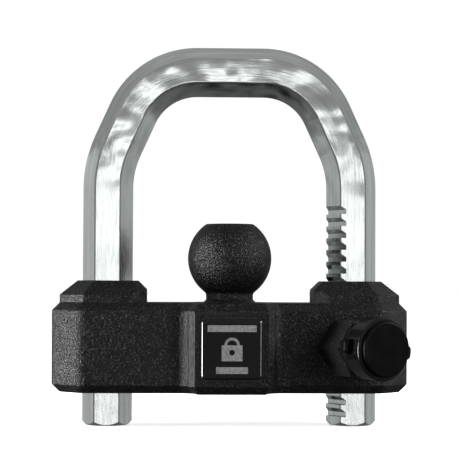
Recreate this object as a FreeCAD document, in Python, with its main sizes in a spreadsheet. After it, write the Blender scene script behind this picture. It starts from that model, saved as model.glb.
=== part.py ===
import FreeCAD, Part
import Sketcher
import math
import os

# Trailer coupler lock: a cast crossbar with a coupler ball, a ratcheting hexagonal-bar shackle, and a
# key lock that stands out of the right front at 30 degrees.
# Millimetres. The origin is the ball's centre, +Z is up, +X points to the toothed leg, -Y is the front.

SIZES = [
    # the ball and its shank
    ("ball_radius", 22.225, "1 3/4 inch ball"),
    ("ball_flat_radius", 12.6, "flat on the ball's top"),
    ("neck_radius", 12.5, "neck below the ball"),
    ("neck_foot_radius", 14.2, "neck where it meets the crossbar"),
    ("neck_length", 5.1, "neck between the ball and the crossbar's top"),
    ("neck_fillet", 2.4, "fillet between the ball and its neck"),
    ("shank_radius", 10.0, "shank inside the crossbar"),
    ("shank_length", 36.0, "shank below the crossbar's top"),
    ("bolt_radius", 5.0, "bolt up the shank"),
    ("bolt_grip", 18.0, "bolt length inside the shank"),
    ("bolt_head_radius", 8.0, "bolt head"),
    ("bolt_head_height", 6.0, "bolt head"),
    ("bolt_socket_flats", 8.0, "hexagonal socket across flats"),
    ("bolt_socket_depth", 3.6, "hexagonal socket"),
    ("bolt_sink", 1.0, "bolt head above the crossbar's underside"),
    ("bolt_fit", 0.4, "round the bolt and the washer, per side"),
    ("washer_radius", 10.0, "washer under the bolt head"),
    ("washer_thickness", 2.0, "washer under the bolt head"),
    # the crossbar casting
    ("bar_height", 46.9, "crossbar height"),
    ("end_margin", 4.0, "crossbar's end beyond the collar's outer wall"),
    ("side_margin", 4.2, "crossbar's side beyond the collar's front wall"),
    ("boss_proud", 11.5, "centre boss beyond the crossbar's side"),
    ("boss_flank", 22.0, "centre boss half width at its flanks"),
    ("boss_bevel", 3.1, "bevel down the centre boss's corners"),
    ("boss_fillet", 5.5, "concave fillet beside the centre boss"),
    ("end_corner", 14.5, "bevel down the crossbar's end corners"),
    ("end_round", 9.0, "rounding of those bevels"),
    ("edge_bevel", 4.1, "bevel round the crossbar's top and bottom"),
    ("edge_round", 0.9, "rounding of the casting's edges"),
    # the collars round the legs
    ("collar_inner_margin", 7.4, "leg's corner to the wall on the ball's side"),
    ("collar_outer_margin", 11.6, "leg's corner to the wall on the outer side"),
    ("collar_front_margin", 10.3, "leg's facet to the front and back walls"),
    ("collar_wall", 4.0, "vertical wall of the collar"),
    ("collar_slope", 7.5, "slope above the wall, upwards"),
    ("collar_outer_run", 9.3, "slope's run on the outer side"),
    ("collar_front_run", 7.9, "slope's run at the front and back"),
    ("collar_inner_slope", 4.6, "bevel on the ball's side, both ways"),
    ("collar_corner_slope", 5.6, "bevel at the plan bevels beside it, both ways"),
    ("collar_root", 6.0, "collar sunk in the crossbar"),
    ("collar_outer_corner", 13.0, "plan bevel on the outer side"),
    ("collar_inner_corner", 7.0, "plan bevel on the ball's side"),
    ("collar_round", 2.2, "rounding of the collar's hips"),
    # the shackle
    ("leg_spacing", 129.8, "between the legs' axes"),
    ("bar_flats", 23.2, "hexagonal bar across flats"),
    ("bar_round", 1.2, "rounding of the bar's long edges"),
    ("shackle_top", 99.6, "axis of the top run above the ball's centre"),
    ("shackle_end", 88.2, "leg ends below the ball's centre"),
    ("top_run", 35.4, "straight top run"),
    ("shoulder_radius", 37.7, "upper bend of the axis"),
    ("hip_radius", 55.0, "lower bend of the axis"),
    ("shoulder_lean", 24.5, "lean of the slanted runs from vertical, degrees"),
    ("leg_end_bevel", 2.2, "turned bevel of the leg ends, from the corners in"),
    ("leg_clearance", 0.4, "leg to its hole, per side"),
    ("tooth_pitch", 6.3, "between notches"),
    ("tooth_count", 18, "notches in the leg"),
    ("first_flat", 4.8, "lowest notch's flat above the leg's end"),
    ("notch_depth", 2.65, "notch depth from the facet"),
    ("notch_root", 2.35, "upright root of a notch"),
    ("notch_ramp", 2.1, "rise of a notch's ramp"),
    # the lock's place
    ("lock_margin", 2.9, "lock axis to the leg's nearest facet"),
    ("lock_drop", 22.9, "lock axis below the crossbar's top"),
    ("hex_flats", 29.0, "hexagonal lock boss across flats"),
    ("hex_start", 2.0, "lock boss's inner end along the lock axis"),
    ("hex_end", 32.5, "lock boss's end face along the lock axis"),
    ("hex_bevel", 0.9, "bevel round the lock boss's end"),
    ("bore_end", 9.2, "inner end of the lock's bore"),
    ("slide_fit", 0.05, "running fit, per side"),
    # the barrel and plug
    ("barrel_radius", 12.0, "barrel in its bore"),
    ("barrel_start", 16.0, "inner end of the barrel"),
    ("flange_radius", 14.3, "barrel flange outside the boss"),
    ("flange_length", 5.0, "barrel flange outside the boss"),
    ("head_radius", 13.0, "barrel head under the cap"),
    ("head_length", 5.5, "barrel head under the cap"),
    ("plug_radius", 6.0, "turning plug"),
    ("plug_head_radius", 7.6, "plug head"),
    ("plug_head_length", 2.0, "plug head"),
    ("tail_radius", 4.5, "plug tail behind the barrel"),
    ("tail_length", 2.0, "plug tail behind the barrel"),
    ("tang_width", 5.0, "square tang on the plug tail"),
    ("tang_length", 2.4, "square tang on the plug tail"),
    ("key_slot_width", 1.6, "keyway"),
    ("key_slot_low", 4.4, "keyway below the axis"),
    ("key_slot_high", 2.6, "keyway above the axis"),
    ("key_slot_length", 26.0, "keyway from the plug's face"),
    ("pin_radius", 1.15, "lock pins"),
    ("pin_hole_radius", 1.2, "pin chambers"),
    ("pin_hole_low", 1.0, "lower end of the plug's pin chambers above the axis"),
    ("pin_pitch", 3.2, "between pin chambers"),
    ("first_pin", 17.7, "innermost pin chamber along the lock axis"),
    ("shear_gap", 0.15, "pin ends to the shear line"),
    ("key_pin_1", 3.4, "innermost key pin's length"),
    ("key_pin_2", 4.3, "next key pin's length"),
    ("key_pin_3", 3.8, "next key pin's length"),
    ("key_pin_4", 4.6, "next key pin's length"),
    ("key_pin_5", 3.6, "outermost key pin's length"),
    ("driver_length", 2.3, "driver pins"),
    ("pin_spring_radius", 0.85, "pin spring's coil"),
    ("pin_spring_wire", 0.25, "pin spring's wire radius"),
    ("pin_spring_turns", 2.5, "pin spring"),
    ("strip_low", 10.5, "underside of the chamber strip from the axis"),
    ("strip_thickness", 0.9, "chamber strip"),
    ("strip_width", 3.2, "chamber strip"),
    ("clip_radius", 7.2, "circlip outside"),
    ("clip_bore", 3.8, "circlip inside"),
    ("clip_thickness", 0.8, "circlip"),
    ("clip_gap", 5.6, "circlip's opening"),
    ("seal_wire", 0.8, "O-ring section radius"),
    ("seal_place", 2.6, "O-ring behind the barrel head's face"),
    ("screw_radius", 2.5, "set screw"),
    ("screw_place", 24.0, "set screw along the lock axis"),
    ("screw_length", 4.2, "set screw"),
    ("screw_sink", 0.1, "set screw's end inside the lock boss's flat"),
    ("screw_socket", 2.5, "set screw's socket across flats"),
    ("screw_socket_depth", 1.9, "set screw's socket"),
    # the cam and the pawl
    ("cam_radius", 7.4, "cam disc"),
    ("cam_thickness", 4.2, "cam disc"),
    ("cam_pin_radius", 1.4, "cam pin"),
    ("cam_pin_length", 6.4, "cam pin"),
    ("cam_pin_gap", 0.2, "cam pin in the pawl's slot, per side"),
    ("pawl_travel", 2.7, "pawl stroke to the locked place"),
    ("pawl_clear", 0.3, "withdrawn pawl to the leg's facet"),
    ("pawl_seat", 0.15, "engaged pawl's land to the leg's facet"),
    ("pawl_back", 6.0, "pawl's back behind the lock axis"),
    ("pawl_height", 15.0, "pawl"),
    ("pawl_width", 13.0, "pawl along the lock axis"),
    ("pawl_fit", 0.2, "pawl in its pocket, per side"),
    ("pawl_gap", 0.3, "pawl teeth in the notches, up and down together"),
    ("spring_room", 7.0, "pocket behind the pawl's back"),
    ("spring_seat", 2.0, "blind holes in the pawl's back"),
    ("spring_radius", 1.9, "pawl spring's coil"),
    ("spring_wire", 0.35, "pawl spring's wire radius"),
    ("spring_turns", 6, "pawl spring"),
    ("spring_spacing", 10.0, "between the pawl springs"),
    # the dust cap
    ("cap_gap", 0.3, "cap's skirt to the barrel flange"),
    ("cap_radius", 16.15, "cap's skirt outside"),
    ("cap_bore", 14.3, "cap's skirt inside"),
    ("cap_length", 11.2, "cap from its skirt to its rim"),
    ("cap_front", 3.0, "cap's front wall"),
    ("cap_bevel", 0.9, "bevelled rim"),
    ("disc_radius", 14.2, "raised disc on the cap"),
    ("disc_fit", 0.05, "disc in its seat, per side"),
    ("disc_round", 0.9, "rounding of the disc's edge"),
    ("disc_seat", 1.0, "disc's depth in the cap"),
    ("disc_proud", 2.2, "disc above the rim"),
    ("ear_reach", 22.3, "ears' reach from the lock axis"),
    ("ear_width", 7.6, "ears"),
    ("ear_thickness", 1.8, "ears"),
    ("ear_slot", 2.0, "slot through an ear"),
    ("ear_edge", 1.7, "ear's material round its slot"),
    ("ear_place", 3.2, "ears from the skirt's edge"),
    ("ear_turn", 6.0, "ears' turn from level, degrees"),
    ("pad_width", 7.4, "pads on the skirt, round it"),
    ("pad_length", 4.4, "pads on the skirt, along it"),
    ("pad_proud", 0.35, "pads above the skirt"),
    # the label
    ("label_side", 32.4, "square label"),
    ("label_corner", 2.6, "label's corners"),
    ("label_plate", 1.0, "label plate, flush in its recess"),
    ("dome_height", 1.7, "domed resin above the boss"),
    ("dome_inset", 0.5, "dome inside the plate's edge"),
]

LOCK_YAW = 30.0  # the lock axis is square to a facet of the hexagonal bar's neighbour
CAM_REST = 135.0  # cam pin's angle about the lock axis with the pawl withdrawn

doc = FreeCAD.newDocument("coupler_lock")


# ---------------------------------------------------------------- sheet, frames and small helpers

def make_sheet():
    """The spreadsheet of driving sizes: name, value and note in each row."""
    made = doc.addObject("Spreadsheet::Sheet", "size")
    for row, (alias, number, note) in enumerate(SIZES, start=1):
        made.set(f"A{row}", alias)
        made.set(f"B{row}", str(number))
        made.set(f"C{row}", note)
        made.setAlias(f"B{row}", alias)
    doc.recompute()
    return made


sheet = make_sheet()


def value(formula):
    """Number that a formula on the sheet gives."""
    return float(sheet.evalExpression(formula))


def vector(x=0.0, y=0.0, z=0.0):
    return FreeCAD.Vector(x, y, z)


def bind(obj, **formulas):
    """Tie properties to formulas, with __ for the dot in a name such as Placement__Base__x."""
    for name, formula in formulas.items():
        obj.setExpression(name.replace("__", "."), formula)
    return obj


def place(obj, x="0", y="0", z="0", turn=None):
    """Put an object at formulas' values, turned by a rotation."""
    obj.Placement = FreeCAD.Placement(vector(), turn or FreeCAD.Rotation())
    return bind(obj, Placement__Base__x=x, Placement__Base__y=y, Placement__Base__z=z)


LEG_X = "size.leg_spacing / 2"
LEG_CORNER = "(size.bar_flats / sqrt(3))"
NECK_TOP = "(-sqrt(size.ball_radius ^ 2 - size.neck_radius ^ 2))"
DECK = f"({NECK_TOP} - size.neck_length)"
FLOOR = f"({DECK} - size.bar_height)"
COLLAR_INNER = f"({LEG_X} - {LEG_CORNER} - size.collar_inner_margin)"
COLLAR_OUTER = f"({LEG_X} + {LEG_CORNER} + size.collar_outer_margin)"
COLLAR_DEPTH = "(size.bar_flats / 2 + size.collar_front_margin)"
COLLAR_TOP = f"({DECK} + size.collar_wall + size.collar_slope)"
BAR_END = f"({COLLAR_OUTER} + size.end_margin)"
SIDE_DEPTH = f"({COLLAR_DEPTH} + size.side_margin)"
BOSS_DEPTH = f"({SIDE_DEPTH} + size.boss_proud)"
LOCK_OFFSET = "(size.bar_flats / 2 + size.lock_margin)"
LOCK_X = f"({LEG_X} - {LOCK_OFFSET} * cos({LOCK_YAW}))"
LOCK_Y = f"(-{LOCK_OFFSET} * sin({LOCK_YAW}))"
LOCK_Z = f"({DECK} - size.lock_drop)"
LOCK_TURN = FreeCAD.Rotation(LOCK_YAW, 0, 90)  # local Z runs out along the lock axis, local Y is up
SCREW_TOP = "(size.screw_length + size.screw_sink - size.hex_flats / 2)"
HEAD_DEPTH = "(size.bolt_sink + size.bolt_head_height + size.washer_thickness)"
HEAD_END = "(size.hex_end + size.flange_length + size.head_length)"
UPRIGHT = FreeCAD.Rotation(vector(1, 0, 0), -90)  # a cylinder's own axis along the lock frame's +Y
DOWNRIGHT = FreeCAD.Rotation(vector(1, 0, 0), 90)  # and along its -Y
PLUG_STEP = "(size.barrel_start - 2 * size.slide_fit)"  # the plug's step, just behind the barrel
TAIL_END = f"({PLUG_STEP} - size.tail_length)"
CLIP_PLACE = f"({PLUG_STEP} - size.slide_fit - size.clip_thickness)"
CAM_TOP = f"({TAIL_END} - 2 * size.slide_fit)"
CAM_LOW = f"({CAM_TOP} - size.cam_thickness)"
LEVEL = 0.01  # how closely an edge picked by its place has to lie there


def place_in_lock(obj):
    """Put an object made in the lock's own frame (X to the leg, Y up, Z outward) in the crossbar."""
    return place(obj, LOCK_X, LOCK_Y, LOCK_Z, LOCK_TURN)


def cylinder(name, radius, height, x="0", y="0", z="0", turn=None):
    made = doc.addObject("Part::Cylinder", name)
    bind(made, Radius=radius, Height=height)
    return place(made, x, y, z, turn)


def box(name, length, width, height, x="0", y="0", z="0", turn=None):
    made = doc.addObject("Part::Box", name)
    bind(made, Length=length, Width=width, Height=height)
    return place(made, x, y, z, turn)


def centred_box(name, length, width, height, x="0", y="0", z="0"):
    """Box whose X and Y are centred on a point and whose Z starts there."""
    return box(name, length, width, height, f"{x} - ({length}) / 2", f"{y} - ({width}) / 2", z)


def hexagon(name, flats, height, x="0", y="0", z="0", turn=None):
    """Hexagonal prism with two flats square to its own Y."""
    made = doc.addObject("Part::Prism", name)
    made.Polygon = 6
    bind(made, Circumradius=f"({flats}) / sqrt(3)", Height=height)
    return place(made, x, y, z, turn)


def cut(name, base, *tools):
    """Base less every tool."""
    made = doc.addObject("Part::Cut", name)
    made.Base = base
    made.Tool = tools[0] if len(tools) == 1 else fuse(name + "_tools", *tools)
    return made


def fuse(name, *shapes):
    made = doc.addObject("Part::MultiFuse", name)
    made.Shapes = list(shapes)
    return made


def group(name, shapes):
    """Separate solids that share one node."""
    made = doc.addObject("Part::Compound", name)
    made.Links = list(shapes)
    return made


def origin_plane(body, role):
    return next(feature for feature in body.Origin.OriginFeatures if feature.Role == role)


def sketch_on(body, name, role, offset=None):
    made = body.newObject("Sketcher::SketchObject", name)
    made.AttachmentSupport = (origin_plane(body, role), [""])
    made.MapMode = "FlatFace"
    if offset is not None:
        made.AttachmentOffset = offset
    return made


def pin_point(sketch, index, end, x, y):
    """Hold one end of a sketch line at two formulas' values."""
    for kind, formula in (("DistanceX", x), ("DistanceY", y)):
        held = sketch.addConstraint(Sketcher.Constraint(kind, index, end, value(formula)))
        sketch.setExpression(f"Constraints[{held}]", formula)


def outline(body, name, role, corners, offset=None):
    """Closed outline of straight lines through corners given as pairs of formulas."""
    made = sketch_on(body, name, role, offset)
    points = [vector(value(x), value(y)) for x, y in corners]
    count = len(points)
    made.addGeometry([Part.LineSegment(points[i], points[(i + 1) % count]) for i in range(count)])
    for i in range(count):
        made.addConstraint(Sketcher.Constraint("Coincident", i, 2, (i + 1) % count, 1))
    for i, (x, y) in enumerate(corners):
        pin_point(made, i, 1, x, y)
    return made


def pad(body, name, profile, length, both_ways=False):
    made = body.newObject("PartDesign::Pad", name)
    made.Profile = profile
    made.SideType = "Symmetric" if both_ways else "One side"
    made.setExpression("Length", length)
    doc.recompute()
    return made


def revolve(body, name, profile):
    made = body.newObject("PartDesign::Revolution", name)
    made.Profile = profile
    made.ReferenceAxis = (profile, ["V_Axis"])
    made.Angle = 360
    doc.recompute()
    return made


def edges_where(shape, test):
    """Names of the edges whose ends and middle satisfy a test."""
    names = []
    for number, edge in enumerate(shape.Edges, start=1):
        middle = edge.valueAt((edge.FirstParameter + edge.LastParameter) / 2)
        if test(edge, middle):
            names.append(f"Edge{number}")
    return names


def rises(edge):
    """True for an edge that isn't level."""
    heights = [vertex.Z for vertex in edge.Vertexes]
    return max(heights) - min(heights) > 0.5


def dress(body, kind, name, test, size_name, size_formula):
    """Fillet or chamfer, on the body's last feature, of the edges that pass a test."""
    base = body.Tip
    made = body.newObject(f"PartDesign::{kind}", name)
    made.Base = (base, edges_where(base.Shape, test))
    made.setExpression(size_name, size_formula)
    doc.recompute()
    return made


def new_body(name):
    return doc.addObject("PartDesign::Body", name)


def finish(obj, label):
    """Name a finished sub-part."""
    obj.Label = label
    return obj


# ---------------------------------------------------------------- the crossbar casting

def make_bar():
    """Crossbar block: plan outline, rounded end corners, bevelled top and bottom."""
    body = new_body("bar_block")
    corners = []
    for front in (-1, 1):
        half = [
            (BAR_END, f"{SIDE_DEPTH} - size.end_corner"),
            (f"{BAR_END} - size.end_corner", SIDE_DEPTH),
            ("size.boss_flank", SIDE_DEPTH),
            ("size.boss_flank", f"{BOSS_DEPTH} - size.boss_bevel"),
            ("size.boss_flank - size.boss_bevel", BOSS_DEPTH),
        ]
        right = [(f"{-front} * ({x})", f"{front} * ({y})") for x, y in half]
        left = [(f"{front} * ({x})", f"{front} * ({y})") for x, y in reversed(half)]
        corners += right + left
    plan = outline(body, "bar_plan", "XY_Plane", corners,
                   FreeCAD.Placement(vector(0, 0, value(FLOOR)), FreeCAD.Rotation()))
    plan.setExpression("AttachmentOffset.Base.z", FLOOR)
    pad(body, "bar_pad", plan, "size.bar_height")
    flank = value("size.boss_flank")
    side = value(SIDE_DEPTH)
    end_x = value(BAR_END)
    dress(body, "Fillet", "boss_fillets",
          lambda edge, mid: rises(edge) and abs(abs(mid.x) - flank) < 0.1 and abs(abs(mid.y) - side) < 0.1,
          "Radius", "size.boss_fillet")
    dress(body, "Fillet", "end_fillets",
          lambda edge, mid: rises(edge) and abs(mid.x) > (flank + end_x) / 2,
          "Radius", "size.end_round")
    dress(body, "Chamfer", "bar_bevels", lambda edge, mid: not rises(edge), "Size", "size.edge_bevel")
    dress(body, "Fillet", "bar_rounds",
          lambda edge, mid: not rises(edge), "Radius", "size.edge_round")
    return body


def round_edges(base, name, test, radius):
    """Part fillet of the edges of a finished object that pass a test."""
    doc.recompute()
    made = doc.addObject("Part::Fillet", name)
    made.Base = base
    made.Edges = [(int(edge[4:]), radius, radius) for edge in edges_where(base.Shape, test)]
    return made


def make_collar(name, side):
    """Raised collar round a leg: an upright wall, with slopes of four sizes above it."""
    body = new_body(name + "_block")
    inner, outer, deep = COLLAR_INNER, COLLAR_OUTER, COLLAR_DEPTH
    half = [
        (inner, f"{deep} - size.collar_inner_corner"),
        (f"{inner} + size.collar_inner_corner", deep),
        (f"{outer} - size.collar_outer_corner", deep),
        (outer, f"{deep} - size.collar_outer_corner"),
    ]
    corners = [(f"{side} * ({x})", f"-({y})") for x, y in half]
    corners += [(f"{side} * ({x})", y) for x, y in reversed(half)]
    plan = outline(body, name + "_plan", "XY_Plane", corners)
    plan.setExpression("AttachmentOffset.Base.z", f"{DECK} - size.collar_root")
    pad(body, name + "_pad", plan, "size.collar_root + size.collar_wall + size.collar_slope")

    top = value(COLLAR_TOP)
    inner_x = value(inner)
    corner_x = inner_x + value("size.collar_inner_corner")
    front_end_x = value(f"{outer} - size.collar_outer_corner")
    rise = value("size.collar_slope")
    slopes = doc.addObject("Part::Chamfer", name + "_slopes")
    slopes.Base = body
    sizes = []
    for edge_name in edges_where(body.Shape, lambda edge, mid: abs(mid.z - top) < LEVEL):
        middle = abs(body.Shape.getElement(edge_name).CenterOfMass.x)
        down, run = rise, value("size.collar_outer_run")
        if middle < inner_x + LEVEL:
            down = run = value("size.collar_inner_slope")
        elif middle < corner_x:
            down = run = value("size.collar_corner_slope")
        elif middle < front_end_x:
            run = value("size.collar_front_run")
        sizes.append((int(edge_name[4:]), down, run))
    slopes.Edges = sizes
    hips = round_edges(slopes, name + "_hips", lambda edge, mid: rises(edge), value("size.collar_round"))
    return round_edges(hips, name, lambda edge, mid: not rises(edge) and abs(mid.z - top) < LEVEL,
                       value("size.edge_round"))


def leg_hole(name, side):
    """Hexagonal hole through the crossbar for one leg."""
    height = "size.bar_height + size.collar_wall + size.collar_slope + 2"
    return hexagon(name, "size.bar_flats + 2 * size.leg_clearance", height,
                   x=f"{side} * {LEG_X}", z=f"{FLOOR} - 1")


def make_lock_body():
    """Crossbar casting with its collars and lock boss, less every hole and pocket."""
    boss = hexagon("lock_boss_bar", "size.hex_flats", "size.hex_end - size.hex_start", z="size.hex_start")
    trim = doc.addObject("Part::Chamfer", "lock_boss")
    trim.Base = boss
    doc.recompute()
    bevel = value("size.hex_bevel")
    outer_end = value("size.hex_end") - LEVEL
    trim.Edges = [(number, bevel, bevel) for number, edge in enumerate(boss.Shape.Edges, start=1)
                  if min(vertex.Z for vertex in edge.Vertexes) > outer_end]
    place_in_lock(trim)
    solid = fuse("casting", make_bar(), make_collar("left_collar", -1), make_collar("right_collar", 1), trim)

    bore = cylinder("lock_bore", "size.barrel_radius + size.slide_fit", "size.hex_end - size.bore_end + 1",
                    z="size.bore_end")
    pocket = box("pawl_pocket",
                 "size.pawl_back + size.spring_room + size.lock_margin + 1",
                 "size.pawl_height + 2 * size.pawl_fit",
                 "size.pawl_width / 2 + size.pawl_fit + size.bore_end + 0.5",
                 "-size.pawl_back - size.spring_room", "-size.pawl_height / 2 - size.pawl_fit",
                 "-size.pawl_width / 2 - size.pawl_fit")
    screw_hole = cylinder("screw_hole", "size.screw_radius", "size.hex_flats / 2",
                          z="size.screw_place", turn=DOWNRIGHT)
    lock_room = place_in_lock(fuse("lock_room", bore, pocket, screw_hole))

    shank_bore = cylinder("shank_bore", "size.shank_radius", "size.shank_length + 1",
                          z=f"{DECK} - size.shank_length")
    bolt_bore = cylinder("bolt_bore", "size.bolt_radius + size.bolt_fit", "size.bar_height", z=FLOOR)
    head_bore = cylinder("head_bore", "size.washer_radius + size.bolt_fit", f"{HEAD_DEPTH} + 1",
                         z=f"{FLOOR} - 1")
    recess = centred_box("label_recess", "size.label_side", "size.label_plate * 2", "size.label_side",
                         y=f"-{BOSS_DEPTH}", z=f"{DECK} - size.bar_height / 2 - size.label_side / 2")
    made = cut("lock_body_cut", solid, leg_hole("left_hole", -1), leg_hole("right_hole", 1), lock_room,
               shank_bore, bolt_bore, head_bore, recess)
    return finish(made, "lock_body")


# ---------------------------------------------------------------- the ball, its bolt and the label

def make_ball():
    """Ball, neck and shank turned in one piece, with a threaded hole up the shank."""
    body = new_body("ball_body")
    flat = "sqrt(size.ball_radius ^ 2 - size.ball_flat_radius ^ 2)"
    sketch = sketch_on(body, "ball_section", "XZ_Plane")
    radius = value("size.ball_radius")
    start = math.asin(value("size.ball_flat_radius") / radius)
    stop = math.pi - math.asin(value("size.neck_radius") / radius)
    arc = Part.Arc(vector(radius * math.sin(start), radius * math.cos(start)), vector(radius, 0),
                   vector(radius * math.sin(stop), radius * math.cos(stop)))
    corners = [
        ("size.neck_radius", NECK_TOP),
        ("size.neck_radius", f"{DECK} + size.neck_foot_radius - size.neck_radius"),
        ("size.neck_foot_radius", DECK),
        ("size.shank_radius", DECK),
        ("size.shank_radius", f"{DECK} - size.shank_length"),
        ("size.bolt_radius", f"{DECK} - size.shank_length"),
        ("size.bolt_radius", f"{DECK} - size.shank_length + size.bolt_grip"),
        ("0", f"{DECK} - size.shank_length + size.bolt_grip"),
        ("0", flat),
        ("size.ball_flat_radius", flat),
    ]
    points = [vector(value(x), value(y)) for x, y in corners]
    lines = [Part.LineSegment(a, b) for a, b in zip(points, points[1:])]
    sketch.addGeometry(lines + [arc])
    last = len(lines)
    for i in range(last - 1):
        sketch.addConstraint(Sketcher.Constraint("Coincident", i, 2, i + 1, 1))
    sketch.addConstraint(Sketcher.Constraint("Coincident", last - 1, 2, last, 2))
    sketch.addConstraint(Sketcher.Constraint("Coincident", last, 1, 0, 1))
    sketch.addConstraint(Sketcher.Constraint("Coincident", last, 3, -1, 1))
    for i, (x, y) in enumerate(corners[:-1]):
        pin_point(sketch, i, 1, x, y)
    held = sketch.addConstraint(Sketcher.Constraint("DistanceX", last, 2, value(corners[-1][0])))
    sketch.setExpression(f"Constraints[{held}]", corners[-1][0])
    revolve(body, "ball_turned", sketch)
    neck_z = value(NECK_TOP)
    dress(body, "Fillet", "ball_fillet",
          lambda edge, mid: abs(mid.z - neck_z) < LEVEL, "Radius", "size.neck_fillet")
    return finish(body, "coupler_ball")


def make_ball_bolt():
    """Socket-head bolt up into the shank, from a counterbore in the crossbar's underside."""
    washer_low = f"({FLOOR} + size.bolt_sink + size.bolt_head_height)"
    reach = f"{DECK} - size.shank_length + size.bolt_grip - 1 - {washer_low}"
    stem = cylinder("bolt_stem", "size.bolt_radius", reach, z=washer_low)
    head = cylinder("bolt_head", "size.bolt_head_radius", "size.bolt_head_height",
                    z=f"{FLOOR} + size.bolt_sink")
    socket = hexagon("bolt_socket", "size.bolt_socket_flats", "size.bolt_socket_depth + 0.1",
                     z=f"{FLOOR} + size.bolt_sink - 0.1")
    return finish(cut("bolt_cut", fuse("bolt_solid", stem, head), socket), "ball_bolt")


def make_ball_washer():
    """Washer between the bolt's head and the counterbore's end."""
    disc = cylinder("washer_disc", "size.washer_radius", "size.washer_thickness",
                    z=f"{FLOOR} + size.bolt_sink + size.bolt_head_height")
    hole = cylinder("washer_hole", "size.bolt_radius + size.bolt_fit", "size.washer_thickness + 2",
                    z=f"{FLOOR} + size.bolt_sink + size.bolt_head_height - 1")
    return finish(cut("washer_cut", disc, hole), "ball_washer")


def label_layer(name, label, inset, start, thickness, crown):
    """Square layer of the label, lying on the boss's front, with rounded corners."""
    body = new_body(name)
    half = f"(size.label_side / 2 - {inset})"
    corners = [(f"-{half}", f"-{half}"), (half, f"-{half}"), (half, half), (f"-{half}", half)]
    sketch = outline(body, name + "_square", "XY_Plane", corners)
    pad(body, name + "_pad", sketch, thickness)
    dress(body, "Fillet", name + "_corners", lambda edge, mid: rises(edge), "Radius", "size.label_corner")
    if crown:
        high = value(thickness)
        dress(body, "Fillet", name + "_crown",
              lambda edge, mid: not rises(edge) and abs(mid.z - high) < LEVEL, "Radius", crown)
    place(body, "0", f"{start} - {BOSS_DEPTH}", f"{DECK} - size.bar_height / 2",
          FreeCAD.Rotation(0, 0, 90))
    return finish(body, label)


# ---------------------------------------------------------------- the shackle

def hexagon_section(body):
    """Sketch of the hexagonal bar's section at the right leg's end, its corners rounded."""
    made = sketch_on(body, "bar_section", "XY_Plane")
    made.setExpression("AttachmentOffset.Base.z", "-size.shackle_end")
    round_radius = value("size.bar_round")
    centres = [(f"{LEG_X} + ({LEG_CORNER} - 2 * size.bar_round / sqrt(3)) * cos({60 * i})",
                f"({LEG_CORNER} - 2 * size.bar_round / sqrt(3)) * sin({60 * i})") for i in range(6)]
    arcs = []
    for i, (x, y) in enumerate(centres):
        circle = Part.Circle(vector(value(x), value(y)), vector(0, 0, 1), round_radius)
        arcs.append(Part.ArcOfCircle(circle, math.radians(60 * i - 30), math.radians(60 * i + 30)))
    lines = [Part.LineSegment(arc.EndPoint, after.StartPoint) for arc, after in zip(arcs, arcs[1:] + arcs[:1])]
    made.addGeometry(arcs + lines)
    for i, (x, y) in enumerate(centres):
        made.addConstraint(Sketcher.Constraint("Tangent", i, 2, 6 + i, 1))
        made.addConstraint(Sketcher.Constraint("Tangent", 6 + i, 2, (i + 1) % 6, 1))
        pin_point(made, i, 3, x, y)
        held = made.addConstraint(Sketcher.Constraint("Radius", i, round_radius))
        made.setExpression(f"Constraints[{held}]", "size.bar_round")
    doc.recompute()
    return made


def end_bevel(name, side):
    """Ring that turns a conical bevel on a leg's lower end."""
    leg_x = f"{side} * {LEG_X}"
    low, height = "-size.shackle_end - 1", "size.leg_end_bevel + 1"
    skin = cylinder(name + "_skin", "size.bar_flats", height, x=leg_x, z=low)
    cone = doc.addObject("Part::Cone", name + "_cone")
    bind(cone, Radius1=f"{LEG_CORNER} - ({height})", Radius2=LEG_CORNER, Height=height)
    return cut(name, skin, place(cone, leg_x, z=low))


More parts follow.
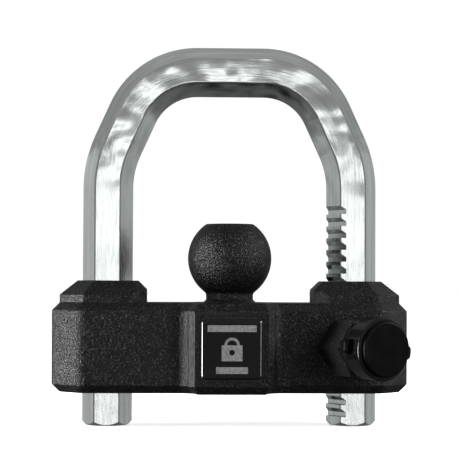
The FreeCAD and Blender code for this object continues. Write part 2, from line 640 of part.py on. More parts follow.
def make_shackle():
    """Hexagonal bar bent to a U, swept along its axis, notched down the right leg, its ends bevelled."""
    body = new_body("shackle_body")
    lean = math.radians(value("size.shoulder_lean"))
    top, end = value("size.shackle_top"), -value("size.shackle_end")
    leg, half_run = value(LEG_X), value("size.top_run / 2")
    shoulder, hip = value("size.shoulder_radius"), value("size.hip_radius")
    turn = math.pi / 2 - lean
    upper = vector(half_run + shoulder * math.sin(turn), top - shoulder * (1 - math.cos(turn)))
    drop = (leg - hip * (1 - math.cos(lean)) - upper.x) / math.tan(lean)
    lower = vector(leg - hip * (1 - math.cos(lean)), upper.y - drop)
    knee = vector(leg, lower.y - hip * math.sin(lean))

    def arc_point(centre, radius, angle):
        return centre + vector(radius * math.cos(angle), radius * math.sin(angle))

    shoulder_centre = vector(half_run, top - shoulder)
    hip_centre = vector(leg - hip, knee.y)
    right = [
        Part.LineSegment(vector(leg, end), knee),
        Part.Arc(knee, arc_point(hip_centre, hip, lean / 2), lower),
        Part.LineSegment(lower, upper),
        Part.Arc(upper, arc_point(shoulder_centre, shoulder, (math.pi / 2 + lean) / 2), vector(half_run, top)),
    ]

    def flip(point):
        return vector(-point.x, point.y)

    left = [
        Part.Arc(vector(-half_run, top),
                 flip(arc_point(shoulder_centre, shoulder, (math.pi / 2 + lean) / 2)), flip(upper)),
        Part.LineSegment(flip(upper), flip(lower)),
        Part.Arc(flip(lower), flip(arc_point(hip_centre, hip, lean / 2)), flip(knee)),
        Part.LineSegment(flip(knee), vector(-leg, end)),
    ]
    spine = sketch_on(body, "shackle_axis", "XZ_Plane")
    spine.addGeometry(right + [Part.LineSegment(vector(half_run, top), vector(-half_run, top))] + left)
    for i in range(8):
        spine.addConstraint(Sketcher.Constraint("Tangent", i, 2, i + 1, 1))
    spine.addConstraint(Sketcher.Constraint("Vertical", 0))
    spine.addConstraint(Sketcher.Constraint("Horizontal", 4))
    spine.addConstraint(Sketcher.Constraint("Vertical", 8))
    pin_point(spine, 0, 1, LEG_X, "-size.shackle_end")
    pin_point(spine, 4, 1, "size.top_run / 2", "size.shackle_top")
    pin_point(spine, 8, 2, f"-{LEG_X}", "-size.shackle_end")
    held = spine.addConstraint(Sketcher.Constraint("DistanceX", 4, 2, value("-size.top_run / 2")))
    spine.setExpression(f"Constraints[{held}]", "-size.top_run / 2")
    for arc, name in ((1, "hip"), (3, "shoulder"), (5, "shoulder"), (7, "hip")):
        held = spine.addConstraint(Sketcher.Constraint("Radius", arc, value(f"size.{name}_radius")))
        spine.setExpression(f"Constraints[{held}]", f"size.{name}_radius")

    section = hexagon_section(body)
    bar = body.newObject("PartDesign::AdditivePipe", "shackle_bar")
    bar.Profile = section
    bar.Spine = spine
    doc.recompute()
    # notches in the facet that faces forward and towards the ball; local X points into the leg
    facet = "size.bar_flats / 2"
    root = f"-({facet} - size.notch_depth)"
    mouth = f"-({facet} + 1)"
    reach = "(1 + size.notch_depth) * size.notch_ramp / size.notch_depth"
    flat = "-size.shackle_end + size.first_flat"
    tilt = FreeCAD.Placement(vector(value(LEG_X), 0, 0), FreeCAD.Rotation(vector(0, 1, 0), LOCK_YAW))
    notch = outline(body, "notch_section", "XZ_Plane",
                    [(mouth, flat), (root, flat), (root, f"{flat} + size.notch_root"),
                     (mouth, f"{flat} + size.notch_root + {reach}")], tilt)
    notch.setExpression("AttachmentOffset.Base.x", LEG_X)
    pocket = body.newObject("PartDesign::Pocket", "notch")
    pocket.Profile = notch
    pocket.SideType = "Symmetric"
    pocket.setExpression("Length", "size.bar_flats * 1.6")
    doc.recompute()
    rack = body.newObject("PartDesign::LinearPattern", "notches")
    rack.Originals = [pocket]
    rack.Direction = (notch, ["V_Axis"])
    rack.setExpression("Length", "size.tooth_pitch * (size.tooth_count - 1)")
    rack.setExpression("Occurrences", "size.tooth_count")
    body.Tip = rack
    doc.recompute()
    return finish(cut("shackle_cut", body, end_bevel("left_end", -1), end_bevel("right_end", 1)), "shackle")


# ---------------------------------------------------------------- the lock's barrel and plug

def ring(name, outer, inner, length, z):
    """Tube along +Z from a given height."""
    skin = cylinder(name + "_skin", outer, length, z=z)
    hole = cylinder(name + "_hole", inner, f"{length} + 2", z=f"{z} - 1")
    return cut(name, skin, hole)


def pin_places():
    return [f"(size.first_pin + {i} * size.pin_pitch)" for i in range(5)]


def make_barrel():
    """Lock shell: body in the bore, flange against the boss, head under the cap."""
    shell = fuse("barrel_solid",
                 cylinder("barrel_main", "size.barrel_radius", "size.hex_end - size.barrel_start",
                          z="size.barrel_start"),
                 cylinder("barrel_flange", "size.flange_radius", "size.flange_length", z="size.hex_end"),
                 cylinder("barrel_head", "size.head_radius", "size.head_length",
                          z="size.hex_end + size.flange_length"))
    plug_room = cylinder("plug_room", "size.plug_radius + size.slide_fit", "size.hex_end * 2", z="0")
    head_room = cylinder("plug_head_room", "size.plug_head_radius + size.slide_fit",
                         "size.plug_head_length + 1", z=f"{HEAD_END} - size.plug_head_length")
    groove = ring("seal_groove", "size.head_radius + 2", "size.head_radius - size.seal_wire",
                  "2 * size.seal_wire", f"{HEAD_END} - size.seal_place - size.seal_wire")
    chambers = [cylinder(f"chamber_{i}", "size.pin_hole_radius", "size.barrel_radius", z=place_z, turn=UPRIGHT)
                for i, place_z in enumerate(pin_places())]
    strip_room = box("strip_room", "size.strip_width", "size.barrel_radius",
                     "5 * size.pin_pitch", "-size.strip_width / 2", "size.strip_low",
                     "size.first_pin - size.pin_pitch / 2")
    screw_seat = cylinder("screw_seat", "size.screw_radius", "size.screw_length", y=SCREW_TOP,
                          z="size.screw_place", turn=DOWNRIGHT)
    made = cut("barrel_cut", shell, plug_room, head_room, groove, strip_room, screw_seat, *chambers)
    return finish(place_in_lock(made), "lock_barrel")


def make_plug():
    """Turning plug: head, keyway, pin holes, clip groove and square tang."""
    solid = fuse("plug_solid",
                 cylinder("plug_main", "size.plug_radius", f"{HEAD_END} - {PLUG_STEP}", z=PLUG_STEP),
                 cylinder("plug_head", "size.plug_head_radius", "size.plug_head_length - size.slide_fit",
                          z=f"{HEAD_END} - size.plug_head_length + size.slide_fit"),
                 cylinder("plug_tail", "size.tail_radius", "size.tail_length", z=TAIL_END),
                 centred_box("plug_tang", "size.tang_width", "size.tang_width", "size.tang_length",
                             z=f"{TAIL_END} - size.tang_length"))
    keyway = box("keyway", "size.key_slot_width", "size.key_slot_low + size.key_slot_high",
                 "size.key_slot_length + 1", "-size.key_slot_width / 2", "-size.key_slot_low",
                 f"{HEAD_END} - size.key_slot_length")
    holes = [cylinder(f"pin_hole_{i}", "size.pin_hole_radius", "size.plug_radius",
                      y="size.pin_hole_low", z=place_z, turn=UPRIGHT)
             for i, place_z in enumerate(pin_places())]
    groove = ring("clip_groove", "size.tail_radius + 1", "size.clip_bore - size.slide_fit",
                  "size.clip_thickness + 2 * size.slide_fit", f"{CLIP_PLACE} - size.slide_fit")
    made = cut("plug_cut", solid, keyway, groove, *holes)
    return finish(place_in_lock(made), "lock_plug")


def make_key_pins():
    """Key pins of different lengths, their tops at the shear line."""
    pins = []
    for i, place_z in enumerate(pin_places()):
        length = f"size.key_pin_{i + 1}"
        pins.append(cylinder(f"key_pin_{i}", "size.pin_radius", length,
                             y=f"size.plug_radius - size.shear_gap - {length}", z=place_z, turn=UPRIGHT))
    return finish(place_in_lock(group("key_pin_set", pins)), "key_pins")


def make_driver_pins():
    """Driver pins above the shear line, all of one length."""
    pins = [cylinder(f"driver_pin_{i}", "size.pin_radius", "size.driver_length",
                     y="size.plug_radius + size.shear_gap", z=place_z, turn=UPRIGHT)
            for i, place_z in enumerate(pin_places())]
    return finish(place_in_lock(group("driver_pin_set", pins)), "driver_pins")


def coil(radius, wire, length, turns):
    """Coil spring along +Z from the origin, as a solid."""
    pitch = (length - 2 * wire) / turns
    path = Part.makeHelix(pitch, length - 2 * wire, radius)
    path.translate(vector(0, 0, wire))
    section = Part.Wire(Part.makeCircle(wire, vector(radius, 0, wire), vector(0, 1, 0)))
    return Part.Wire(path.Edges).makePipeShell([section], True, True)


def make_springs(name, label, shapes):
    """Springs that share one node, placed in the lock's frame."""
    made = doc.addObject("Part::Feature", name)
    made.Shape = Part.makeCompound(shapes)
    return finish(place_in_lock(made), label)


def make_pin_springs():
    """Springs from the driver pins up to the chamber strip."""
    low = value("size.plug_radius + size.shear_gap + size.driver_length")
    length = value("size.strip_low") - low
    shapes = []
    for place_z in pin_places():
        spring = coil(value("size.pin_spring_radius"), value("size.pin_spring_wire"), length,
                      value("size.pin_spring_turns"))
        spring.Placement = FreeCAD.Placement(vector(0, low, value(place_z)), UPRIGHT)
        shapes.append(spring)
    return make_springs("pin_spring_set", "pin_springs", shapes)


def make_chamber_strip():
    """Strip that closes the pin chambers, its top inside the barrel's own radius."""
    made = box("strip", "size.strip_width", "size.strip_thickness", "5 * size.pin_pitch",
               "-size.strip_width / 2", "size.strip_low", "size.first_pin - size.pin_pitch / 2")
    holder = group("strip_in_lock", [made])
    return finish(place_in_lock(holder), "chamber_strip")


def make_circlip():
    """Split ring in the plug tail's groove, behind the barrel."""
    whole = ring("clip_ring", "size.clip_radius", "size.clip_bore", "size.clip_thickness", CLIP_PLACE)
    gap = box("clip_gap", "size.clip_gap", "size.clip_radius * 2", "size.barrel_start",
              "-size.clip_gap / 2", "-size.clip_radius * 2")
    return finish(place_in_lock(cut("clip_cut", whole, gap)), "plug_circlip")


def make_barrel_seal():
    """O-ring in the barrel head's groove."""
    made = doc.addObject("Part::Torus", "seal_ring")
    bind(made, Radius1="size.head_radius", Radius2="size.seal_wire")
    place(made, z=f"{HEAD_END} - size.seal_place")
    return finish(place_in_lock(group("seal_in_lock", [made])), "barrel_seal")


def make_barrel_screw():
    """Set screw up through the lock boss's lower flat into the barrel."""
    stem = cylinder("screw_stem", "size.screw_radius", "size.screw_length", y=SCREW_TOP,
                    z="size.screw_place", turn=DOWNRIGHT)
    socket = hexagon("screw_socket_room", "size.screw_socket", "size.screw_socket_depth + 0.1",
                     y="size.screw_sink - size.hex_flats / 2 + size.screw_socket_depth",
                     z="size.screw_place", turn=DOWNRIGHT)
    return finish(place_in_lock(cut("screw_cut", stem, socket)), "barrel_screw")


# ---------------------------------------------------------------- the cam, pawl and springs

CAM_THROW = "(size.pawl_travel / sqrt(2))"  # a quarter turn then gives the pawl its whole stroke
CAM_PIN_X = f"({CAM_THROW} * cos({CAM_REST}))"
CAM_PIN_Y = f"({CAM_THROW} * sin({CAM_REST}))"


def make_cam():
    """Cam disc on the plug's tang, with an eccentric pin into the pawl."""
    disc = cylinder("cam_disc", "size.cam_radius", "size.cam_thickness", z=CAM_LOW)
    stem = cylinder("cam_pin", "size.cam_pin_radius", "size.cam_pin_length + 1", CAM_PIN_X, CAM_PIN_Y,
                    f"{CAM_LOW} - size.cam_pin_length")
    seat_width = "size.tang_width + 2 * size.slide_fit"
    seat = centred_box("tang_seat", seat_width, seat_width, "size.tang_length + 1",
                       z=f"{CAM_TOP} - size.tang_length")
    return finish(place_in_lock(cut("cam_cut", fuse("cam_solid", disc, stem), seat)), "lock_cam")


def tooth_corners(tip, land):
    """Outline of the pawl's two teeth, in the pair of notches whose middle is nearest the lock axis."""
    lowest = f"(size.first_flat - size.shackle_end - {LOCK_Z})"
    half_rise = "(size.notch_root + size.notch_ramp) / 2"
    steps = f"round(-({lowest} + {half_rise}) / size.tooth_pitch - 0.5)"
    corners = []
    for i in (0, 1):
        flat = f"({lowest} + ({steps} + {i}) * size.tooth_pitch + size.pawl_gap / 2)"
        high = f"({flat} + size.notch_root - size.pawl_gap)"
        corners += [(land, flat), (tip, flat), (tip, high),
                    (land, f"{high} + size.notch_ramp * ({tip} - {land}) / size.notch_depth")]
    behind = f"{land} - 1"
    return [(behind, corners[0][1])] + corners + [(behind, corners[-1][1])]


def make_pawl():
    """Pawl: a block with two buttress teeth towards the leg, an open slot for the cam pin, spring seats."""
    tip = "(size.lock_margin - size.pawl_clear)"
    land = "(size.lock_margin - size.pawl_seat - size.pawl_travel)"
    block = box("pawl_block", f"{land} + size.pawl_back", "size.pawl_height", "size.pawl_width",
                "-size.pawl_back", "-size.pawl_height / 2", "-size.pawl_width / 2")
    body = new_body("pawl_teeth")
    section = outline(body, "tooth_section", "XY_Plane", tooth_corners(tip, land))
    section.setExpression("AttachmentOffset.Base.z", "-size.pawl_width / 2")
    pad(body, "teeth", section, "size.pawl_width")
    reach = "(size.cam_pin_radius + size.cam_pin_gap)"
    slot = box("cam_slot", "size.pawl_back * 2", f"{CAM_THROW} - {CAM_PIN_Y} + 2 * {reach}",
               "size.pawl_width", f"{CAM_PIN_X} - {reach}", f"{CAM_PIN_Y} - {reach}",
               f"{CAM_LOW} - size.cam_pin_length - 2 * size.cam_pin_gap")
    across = FreeCAD.Rotation(vector(0, 1, 0), 90)
    seats = [cylinder(f"spring_seat_{i}", "size.spring_radius + size.spring_wire + size.pawl_fit",
                      "size.spring_seat + 1", "-size.pawl_back - 1", f"{i} * size.spring_spacing / 2",
                      turn=across)
             for i in (-1, 1)]
    made = cut("pawl_cut", fuse("pawl_solid", block, body), slot, *seats)
    return finish(place_in_lock(made), "pawl")


def make_pawl_springs():
    """Two coils between the pocket's back wall and the pawl's back."""
    length = value("size.spring_room + size.spring_seat")
    start = -value("size.pawl_back + size.spring_room")
    shapes = []
    for i in (-1, 1):
        spring = coil(value("size.spring_radius"), value("size.spring_wire"), length,
                      value("size.spring_turns"))
        spring.Placement = FreeCAD.Placement(vector(start, i * value("size.spring_spacing / 2"), 0),
                                             FreeCAD.Rotation(vector(0, 1, 0), 90))
        shapes.append(spring)
    return make_springs("pawl_spring_set", "pawl_springs", shapes)


# ---------------------------------------------------------------- the dust cap

SKIRT = "(size.hex_end + size.flange_length + size.cap_gap)"
RIM = f"({SKIRT} + size.cap_length)"


def make_ear(name, angle):
    """Flat eyelet that stands out of the skirt at an angle about the lock axis."""
    body = new_body(name)
    half = "size.ear_width / 2"
    corners = [("size.cap_bore", f"-{half}"), ("size.ear_reach", f"-{half}"),
               ("size.ear_reach", half), ("size.cap_bore", half)]
    pad(body, name + "_pad", outline(body, name + "_plan", "XY_Plane", corners), "size.ear_thickness")
    reach = value("size.ear_reach")
    dress(body, "Fillet", name + "_round", lambda edge, mid: rises(edge) and abs(mid.x - reach) < 0.1,
          "Radius", "size.ear_width * 0.36")
    hole = centred_box(name + "_hole", "size.ear_slot", "size.ear_width - 2 * size.ear_edge",
                       "size.ear_thickness + 2", "size.ear_reach - size.ear_edge - size.ear_slot / 2", "0", "-1")
    made = cut(name + "_cut", body, hole)
    return place(made, z=f"{SKIRT} + size.ear_place - size.ear_thickness / 2",
                 turn=FreeCAD.Rotation(vector(0, 0, 1), angle))


def make_dust_cap():
    """Round cap that pushes over the barrel's head, with two ears."""
    body = new_body("cap_turned")
    corners = [
        ("size.cap_bore", SKIRT),
        ("size.cap_radius", SKIRT),
        ("size.cap_radius", f"{RIM} - size.cap_bevel"),
        ("size.cap_radius - size.cap_bevel", RIM),
        ("size.disc_radius + size.disc_fit", RIM),
        ("size.disc_radius + size.disc_fit", f"{RIM} - size.disc_seat"),
        ("0", f"{RIM} - size.disc_seat"),
        ("0", f"{RIM} - size.cap_front"),
        ("size.cap_bore", f"{RIM} - size.cap_front"),
    ]
    sketch = outline(body, "cap_section", "XZ_Plane", corners)
    revolve(body, "cap_shell", sketch)
    rim_z = value(f"{RIM} - size.cap_bevel")
    dress(body, "Fillet", "cap_round", lambda edge, mid: abs(mid.z - rim_z) < LEVEL,
          "Radius", "size.cap_bevel * 0.6")
    turn = value("size.ear_turn")
    solid = fuse("cap_with_ears", body, make_ear("leg_ear", -turn), make_ear("ball_ear", 180 - turn))
    bore = cylinder("cap_room", "size.cap_bore", "size.cap_length - size.cap_front + 1", z=f"{SKIRT} - 1")
    return finish(place_in_lock(cut("cap_cut", solid, bore)), "dust_cap")


def make_cap_disc():
    """Raised disc pressed into the cap's face, its edge rounded."""
    body = new_body("cap_disc_body")
    low, high = f"{RIM} - size.disc_seat", f"{RIM} + size.disc_proud"
    corners = [("0", low), ("size.disc_radius", low), ("size.disc_radius", high), ("0", high)]
    revolve(body, "disc_turned", outline(body, "disc_section", "XZ_Plane", corners))
    top = value(high)
    dress(body, "Fillet", "disc_rim", lambda edge, mid: abs(mid.z - top) < LEVEL,
          "Radius", "size.disc_round")
    return finish(place_in_lock(body), "cap_disc")


def make_cap_pads():
    """Two curved pads on the skirt beside the ears."""
    pads = []
    turn = value("size.ear_turn")
    for name, angle in (("leg_pad", -turn), ("ball_pad", 180 - turn)):
        shell = ring(name + "_ring", "size.cap_radius + size.pad_proud", "size.cap_radius",
                     "size.pad_length", f"{SKIRT} + size.ear_place + size.ear_thickness / 2 + 0.5")
        keep = box(name + "_keep", "size.cap_radius * 2", "size.pad_width", "size.cap_length * 6",
                   y="-size.pad_width / 2")
        made = doc.addObject("Part::Common", name)
        made.Base = shell
        made.Tool = keep
        pads.append(place(made, turn=FreeCAD.Rotation(vector(0, 0, 1), angle)))
    return finish(place_in_lock(group("cap_pad_pair", pads)), "cap_pads")


# ---------------------------------------------------------------- build, check and write

def make_all():
    return [
        make_lock_body(),
        make_ball(),
        make_ball_bolt(),
        make_ball_washer(),
        make_shackle(),
        label_layer("label_base", "label_plate", "0.1", "size.label_plate", "size.label_plate", None),
        label_layer("label_top", "label_dome", "size.dome_inset", "0", "size.dome_height",
                    "size.dome_height * 0.85"),
        make_barrel(),
        make_plug(),
        make_key_pins(),
        make_driver_pins(),
        make_pin_springs(),
        make_chamber_strip(),
        make_circlip(),
        make_barrel_seal(),
        make_barrel_screw(),
        make_cam(),
        make_pawl(),
        make_pawl_springs(),
        make_dust_cap(),
        make_cap_disc(),
        make_cap_pads(),
    ]


def check(parts):
    """Stop if any feature failed or any sub-part has no valid shape."""
    failed = [obj.Name for obj in doc.Objects if "Invalid" in obj.State or "Error" in obj.State]
    broken = [obj.Label for obj in parts if obj.Shape.isNull() or not obj.Shape.isValid()]
    if failed or broken:
        raise RuntimeError(f"failed features {failed}, broken sub-parts {broken}")


def write(parts):
    os.makedirs("parts", exist_ok=True)
    for obj in parts:
        obj.Shape.exportStep(f"parts/{obj.Label}.step")
        print(f"{obj.Label}: {len(obj.Shape.Solids)} solids, {obj.Shape.Volume:.1f} mm3")


parts = make_all()
doc.recompute()
check(parts)
write(parts)
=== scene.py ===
"""Looks for the trailer coupler lock: materials, light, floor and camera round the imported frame."""
import math

import bpy
from mathutils import Matrix, Vector


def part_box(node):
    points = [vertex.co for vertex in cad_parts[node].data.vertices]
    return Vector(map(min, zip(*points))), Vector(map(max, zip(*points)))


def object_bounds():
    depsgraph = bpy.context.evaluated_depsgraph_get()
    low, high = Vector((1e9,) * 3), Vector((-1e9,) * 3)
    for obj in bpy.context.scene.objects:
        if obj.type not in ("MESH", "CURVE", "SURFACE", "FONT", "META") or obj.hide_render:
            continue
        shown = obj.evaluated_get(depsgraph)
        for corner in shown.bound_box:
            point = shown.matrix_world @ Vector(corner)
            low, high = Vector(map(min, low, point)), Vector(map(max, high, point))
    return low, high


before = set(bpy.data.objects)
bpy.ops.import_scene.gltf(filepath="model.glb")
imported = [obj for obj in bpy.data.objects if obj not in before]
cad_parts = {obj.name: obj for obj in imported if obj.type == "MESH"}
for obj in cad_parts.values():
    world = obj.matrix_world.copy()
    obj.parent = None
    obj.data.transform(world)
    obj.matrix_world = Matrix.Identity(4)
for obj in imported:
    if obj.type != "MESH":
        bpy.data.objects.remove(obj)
cad_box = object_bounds()


# ---------------------------------------------------------------- node helpers

class Nodes:
    """A material and short ways to write its node tree."""

    def __init__(self, name):
        self.material = bpy.data.materials.new(name)
        self.material.use_nodes = True
        self.tree = self.material.node_tree
        self.shader = self.tree.nodes["Principled BSDF"]

    def add(self, kind, **values):
        """New node; values name its properties, or its inputs where it has no such property."""
        node = self.tree.nodes.new(kind)
        for name, value in values.items():
            if hasattr(node, name):
                setattr(node, name, value)
            else:
                node.inputs[name.replace("_", " ")].default_value = value
        return node

    def link(self, source, target):
        self.tree.links.new(source, target)

    def set(self, **values):
        """Set the shader's own sockets."""
        for name, value in values.items():
            self.shader.inputs[name.replace("_", " ")].default_value = value

    def drive(self, name, source):
        """Link a socket of the shader, by its name."""
        self.link(source, self.shader.inputs[name])

    def place(self, scale=(1, 1, 1)):
        """Object coordinates, scaled."""
        coordinates = self.add("ShaderNodeTexCoord")
        mapping = self.add("ShaderNodeMapping")
        mapping.inputs["Scale"].default_value = scale
        self.link(coordinates.outputs["Object"], mapping.inputs["Vector"])
        return mapping.outputs["Vector"]

    def axes(self):
        """Object coordinates as a node with one output for each axis."""
        coordinates = self.add("ShaderNodeTexCoord")
        parts = self.add("ShaderNodeSeparateXYZ")
        self.link(coordinates.outputs["Object"], parts.inputs[0])
        return parts

    def noise(self, vector, scale, detail=3.0, rough=0.5):
        """Noise of a scale per metre, from 0 to 1."""
        node = self.add("ShaderNodeTexNoise", Scale=scale, Detail=detail, Roughness=rough)
        self.link(vector, node.inputs["Vector"])
        return node.outputs["Fac"]

    def ramp(self, source, stops):
        """Colour ramp through stops, each a position and a colour or a grey level."""
        node = self.add("ShaderNodeValToRGB")
        elements = node.color_ramp.elements
        while len(elements) < len(stops):
            elements.new(0.5)
        for element, (position, colour) in zip(elements, stops):
            element.position = position
            element.color = colour if isinstance(colour, tuple) else (colour, colour, colour, 1)
        self.link(source, node.inputs["Fac"])
        return node.outputs["Color"]

    def math(self, operation, first, second=0.0, clamp=False):
        """Result of a math node on two sources or numbers."""
        node = self.add("ShaderNodeMath", operation=operation, use_clamp=clamp)
        for socket, value in zip(node.inputs, (first, second)):
            if isinstance(value, (int, float)):
                socket.default_value = value
            else:
                self.link(value, socket)
        return node.outputs[0]

    def mix(self, factor, first, second):
        """Colours mixed by a factor."""
        node = self.add("ShaderNodeMix", data_type="RGBA")
        for name, value in (("Factor", factor), ("A", first), ("B", second)):
            socket = next(s for s in node.inputs if s.name == name and s.enabled)
            if isinstance(value, (int, float, tuple)):
                socket.default_value = value
            else:
                self.link(value, socket)
        return next(s for s in node.outputs if s.enabled)

    def bump(self, height, distance, strength=1.0, normal=None):
        """Normal bumped by a height, whose full range is a distance in metres."""
        node = self.add("ShaderNodeBump", Strength=strength, Distance=distance)
        self.link(height, node.inputs["Height"])
        if normal is not None:
            self.link(normal, node.inputs["Normal"])
        return node.outputs["Normal"]


def grey(level, tint=(1.0, 1.0, 1.0)):
    """Colour of one level with a slight tint."""
    return tuple(level * part for part in tint) + (1,)


# ---------------------------------------------------------------- materials

# The shackle's bend as a rounded square round a point above the ball, for its lengthwise brushing.
BEND_CENTRE = 0.035
BEND_SQUARENESS = 2.7
STREAK_STRETCH = 0.06

COOL_BLACK = (0.95, 1.0, 1.03)
COOL_ZINC = (0.955, 1.0, 0.98)


def powder_coat():
    """Fine-textured black powder coat: small round grains that catch the light."""
    made = Nodes("powder_coat")
    where = made.place()
    grain = made.noise(where, 1250, 2.0, 0.6)
    fine = made.noise(where, 3600, 1.0, 0.5)
    wide = made.noise(where, 60, 3.0, 0.5)
    shades = [(0.40, 0.0015), (0.58, 0.012), (0.70, 0.12)]
    made.drive("Base Color", made.ramp(grain, [(place, grey(level, COOL_BLACK)) for place, level in shades]))
    made.drive("Roughness", made.ramp(wide, [(0.3, 0.30), (0.7, 0.38)]))
    coarse = made.bump(grain, 0.0007)
    made.drive("Normal", made.bump(fine, 0.00015, 0.5, coarse))
    made.set(Specular_IOR_Level=0.32)
    return made.material


def along_bar(made, parts):
    """Coordinates across the bent bar in X and Y and squeezed along it in Z, so that noise gives streaks."""
    side = made.math("POWER", made.math("ABSOLUTE", parts.outputs["X"]), BEND_SQUARENESS)
    above = made.math("MAXIMUM", made.math("SUBTRACT", parts.outputs["Z"], BEND_CENTRE), 0.0)
    rise = made.math("POWER", above, BEND_SQUARENESS)
    across = made.math("POWER", made.math("ADD", side, rise), 1 / BEND_SQUARENESS)
    length = made.math("ADD", parts.outputs["Z"], parts.outputs["X"])
    joined = made.add("ShaderNodeCombineXYZ")
    made.link(across, joined.inputs["X"])
    made.link(parts.outputs["Y"], joined.inputs["Y"])
    made.link(made.math("MULTIPLY", length, STREAK_STRETCH), joined.inputs["Z"])
    return joined.outputs[0]


def plated_bar():
    """Bright zinc over drawn bar: lengthwise brushing, waves where it was bent, small marks."""
    made = Nodes("plated_bar")
    parts = made.axes()
    streaks = along_bar(made, parts)
    where = made.place()
    lines = made.noise(streaks, 1500, 3.0, 0.6)
    broad = made.noise(streaks, 260, 3.0, 0.6)
    waves = made.noise(where, 34, 2.0, 0.5)
    flecks = made.noise(where, 900, 2.0, 0.7)
    made.drive("Base Color", made.mix(broad, grey(0.58, COOL_ZINC), grey(0.98, COOL_ZINC)))
    rough = made.math("ADD", made.math("MULTIPLY", lines, 0.14), made.math("MULTIPLY", broad, 0.10))
    made.drive("Roughness", made.math("ADD", rough, 0.10))
    where_bent = made.ramp(parts.outputs["Z"], [(0.030, 0.12), (0.062, 1.0)])
    bent = made.math("MULTIPLY", made.math("SUBTRACT", waves, 0.5), where_bent)
    swell = made.bump(bent, 0.0040)
    along = made.bump(lines, 0.00008, 0.6, swell)
    made.drive("Normal", made.bump(flecks, 0.00005, 0.25, along))
    made.set(Metallic=1.0)
    return made.material


def moulded(name, level, low, high, grain=0.0, gloss=0.5):
    """Black moulding with soft variation in its gloss."""
    made = Nodes(name)
    where = made.place()
    clouds = made.noise(where, 120, 4.0, 0.6)
    made.drive("Base Color", made.ramp(clouds, [(0.3, grey(level * 0.75)), (0.75, grey(level * 1.35))]))
    made.drive("Roughness", made.ramp(clouds, [(0.3, low), (0.7, high)]))
    if grain:
        made.drive("Normal", made.bump(made.noise(where, 2200, 2.0), grain, 0.5))
    made.set(Specular_IOR_Level=gloss)
    return made.material


def printed_label():
    """Glossy black label with a generic print: a padlock pictogram between two plain bars."""
    made = Nodes("label_resin")
    low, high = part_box("label_dome")
    middle = (low + high) / 2
    half = (high.x - low.x) / 2
    parts = made.axes()
    across = made.math("DIVIDE", made.math("SUBTRACT", parts.outputs["X"], middle.x), half)
    up = made.math("DIVIDE", made.math("SUBTRACT", parts.outputs["Z"], middle.z), half)

    def block(centre_up, half_width, half_height):
        """Mask of a rectangle on the label's upright middle line, in halves of the label's width."""
        beside = made.math("ABSOLUTE", across)
        above = made.math("ABSOLUTE", made.math("SUBTRACT", up, centre_up))
        inside = made.math("LESS_THAN", beside, half_width)
        return made.math("MULTIPLY", inside, made.math("LESS_THAN", above, half_height))

    def disc(centre_up, radius):
        """Mask of a disc on the same line."""
        rise = made.math("SUBTRACT", up, centre_up)
        square = made.math("ADD", made.math("MULTIPLY", across, across), made.math("MULTIPLY", rise, rise))
        return made.math("LESS_THAN", square, radius * radius)

    bars = made.math("ADD", block(0.68, 0.80, 0.11), block(-0.68, 0.52, 0.11))
    hoop_up = 0.14
    ring = made.math("SUBTRACT", disc(hoop_up, 0.25), disc(hoop_up, 0.16))
    arch = made.math("MULTIPLY", ring, made.math("GREATER_THAN", up, hoop_up))
    case = made.math("SUBTRACT", block(-0.12, 0.34, 0.26), disc(-0.1, 0.09))
    ink = made.math("ADD", bars, made.math("ADD", arch, case), clamp=True)
    wear = made.noise(made.place(), 900, 3.0, 0.7)
    faded = made.math("MULTIPLY", ink, made.ramp(wear, [(0.3, 0.55), (0.6, 1.0)]))
    made.drive("Base Color", made.mix(faded, grey(0.004), grey(0.36)))
    made.drive("Roughness", made.ramp(wear, [(0.3, 0.05), (0.7, 0.09)]))
    made.set(Coat_Weight=0.6, Coat_Roughness=0.03)
    return made.material


def machined(name, colour, low, high):
    """Machined metal: fine marks and a little tarnish."""
    made = Nodes(name)
    where = made.place()
    clouds = made.noise(where, 200, 4.0, 0.6)
    dull = tuple(part * 0.7 for part in colour)
    made.drive("Base Color", made.ramp(clouds, [(0.3, dull + (1,)), (0.7, colour + (1,))]))
    made.drive("Roughness", made.ramp(clouds, [(0.3, low), (0.7, high)]))
    made.drive("Normal", made.bump(made.noise(where, 3000, 2.0), 0.00003, 0.3))
    made.set(Metallic=1.0)
    return made.material


def paint(material, *nodes):
    """Give a material to CAD nodes."""
    for node in nodes:
        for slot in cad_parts[node].material_slots:
            slot.material = material


def dress_nodes():
    """A material for every CAD node."""
    paint(powder_coat(), "lock_body", "coupler_ball")
    paint(plated_bar(), "shackle")
    paint(moulded("lock_shell", 0.006, 0.28, 0.4), "lock_barrel")
    paint(moulded("cap_gloss", 0.008, 0.12, 0.24), "dust_cap")
    paint(moulded("cap_face", 0.003, 0.3, 0.42, 0.00004, 0.12), "cap_disc", "cap_pads")
    paint(moulded("seal_rubber", 0.02, 0.6, 0.7), "barrel_seal")
    paint(moulded("label_base", 0.02, 0.25, 0.35), "label_plate")
    paint(printed_label(), "label_dome")
    brass = machined("brass", (0.72, 0.55, 0.28), 0.22, 0.38)
    paint(brass, "lock_plug", "key_pins", "driver_pins", "chamber_strip")
    spring_steel = machined("spring_steel", (0.6, 0.6, 0.6), 0.2, 0.32)
    paint(spring_steel, "pin_springs", "pawl_springs", "plug_circlip")
    paint(machined("hard_steel", (0.42, 0.42, 0.43), 0.25, 0.4), "pawl", "lock_cam")
    paint(machined("zinc_washer", (0.72, 0.73, 0.72), 0.25, 0.4), "ball_washer")
    paint(machined("black_oxide", (0.05, 0.05, 0.053), 0.35, 0.5), "ball_bolt", "barrel_screw")


# ---------------------------------------------------------------- floor, light and camera

FLOOR_GAP = 0.0005

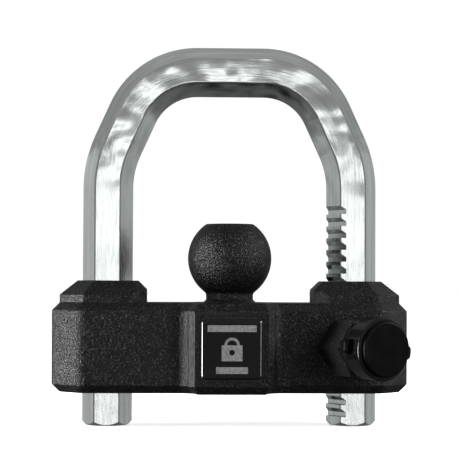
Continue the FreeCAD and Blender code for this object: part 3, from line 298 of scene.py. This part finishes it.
# Soft boxes: name, place, width and height, brightness of the face, and the point it looks at.
SOFT_BOXES = [
    ("front_box", (0.05, -1.45, 0.06), (0.75, 0.22), 1.75, (0.05, 0, 0.06)),
    ("low_box", (0.05, -1.45, -0.22), (0.75, 0.10), 2.5, (0.05, 0, -0.22)),
    ("left_back", (-0.95, 0.62, 0.0), (0.5, 0.8), 0.3, (0, 0, 0)),
    ("right_back", (0.95, 0.62, 0.0), (0.5, 0.8), 0.22, (0, 0, 0)),
]

# Stronger ones, which light every piece but the shackle: they would burn its plating white.
BRIGHT_BOXES = [
    ("left_box", (-1.15, -0.12, -0.12), (0.42, 0.9), 52.0, (0, 0, 0)),
    ("right_box", (1.05, -0.10, 0.50), (0.3, 0.4), 30.0, (0, 0, 0)),
    ("right_strip", (0.85, -0.88, 0.12), (0.14, 0.8), 26.0, (0, 0, 0)),
]


def glow(name, diffuse, strength):
    """Plain white surface with some light of its own."""
    made = Nodes(name)
    made.set(Base_Color=(diffuse, diffuse, diffuse, 1), Roughness=0.9)
    made.set(Emission_Color=(1, 1, 1, 1), Emission_Strength=strength)
    return made.material


def make_stage():
    """White floor under the legs and white paper all round, kept out of the object's reflections."""
    bpy.ops.mesh.primitive_plane_add(size=16, location=(0, 0, cad_box[0].z - FLOOR_GAP))
    floor = bpy.context.object
    floor.data.materials.append(glow("floor_white", 0.8, 0.75))
    bpy.ops.mesh.primitive_uv_sphere_add(radius=9, segments=48, ring_count=24)
    paper = bpy.context.object
    paper.data.materials.append(glow("paper_white", 0.0, 1.0))
    paper.visible_shadow = False
    for part, name in ((floor, "floor"), (paper, "paper")):
        part.name = name
        part.visible_glossy = False
        part.visible_diffuse = False


def soft_box(name, place, size, radiance, target):
    """Rectangular soft light aimed at a point, its power set from the brightness of its face."""
    light = bpy.data.lights.new(name, "AREA")
    light.shape = "RECTANGLE"
    light.size, light.size_y = size
    light.energy = radiance * math.pi * size[0] * size[1]
    lamp = bpy.data.objects.new(name, light)
    lamp.location = place
    lamp.rotation_euler = (Vector(target) - Vector(place)).to_track_quat("-Z", "Y").to_euler()
    lamp.visible_camera = False
    bpy.context.scene.collection.objects.link(lamp)
    return lamp


def make_light():
    """Grey room that is lighter above than below, with the soft boxes in it."""
    world = bpy.data.worlds.new("studio")
    world.use_nodes = True
    tree = world.node_tree
    direction = tree.nodes.new("ShaderNodeTexCoord")
    parts = tree.nodes.new("ShaderNodeSeparateXYZ")
    shade = tree.nodes.new("ShaderNodeMapRange")
    for name, value in (("From Min", -1), ("From Max", 1), ("To Min", 0.16), ("To Max", 0.5)):
        shade.inputs[name].default_value = value
    tree.links.new(direction.outputs["Generated"], parts.inputs[0])
    tree.links.new(parts.outputs["Z"], shade.inputs["Value"])
    tree.links.new(shade.outputs[0], tree.nodes["Background"].inputs["Color"])
    bpy.context.scene.world = world
    bpy.context.scene.view_settings.view_transform = "Standard"
    bpy.context.scene.view_settings.gamma = 0.78  # firmer blacks than the plain transform gives
    for box in SOFT_BOXES:
        soft_box(*box)
    plated = bpy.data.collections.new("plated")
    plated.objects.link(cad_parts["shackle"])
    plated.collection_objects[0].light_linking.link_state = "EXCLUDE"
    for box in BRIGHT_BOXES:
        soft_box(*box).light_linking.receiver_collection = plated


def make_camera():
    """Camera low in front and a little to the left, nearly level with the crossbar's top."""
    data = bpy.data.cameras.new("camera")
    camera = bpy.data.objects.new("camera", data)
    data.sensor_width = 36
    data.lens = 129.25
    camera.location = (-0.0323, -0.8840, -0.0120)
    yaw, pitch, roll = math.radians(2.10), math.radians(1.75), math.radians(0.24)
    look = Matrix.Rotation(-yaw, 4, "Z") @ Matrix.Rotation(math.pi / 2 + pitch, 4, "X")
    camera.matrix_world = Matrix.Translation(camera.location) @ look @ Matrix.Rotation(roll, 4, "Z")
    bpy.context.scene.collection.objects.link(camera)
    bpy.context.scene.camera = camera


dress_nodes()
make_stage()
make_light()
make_camera()
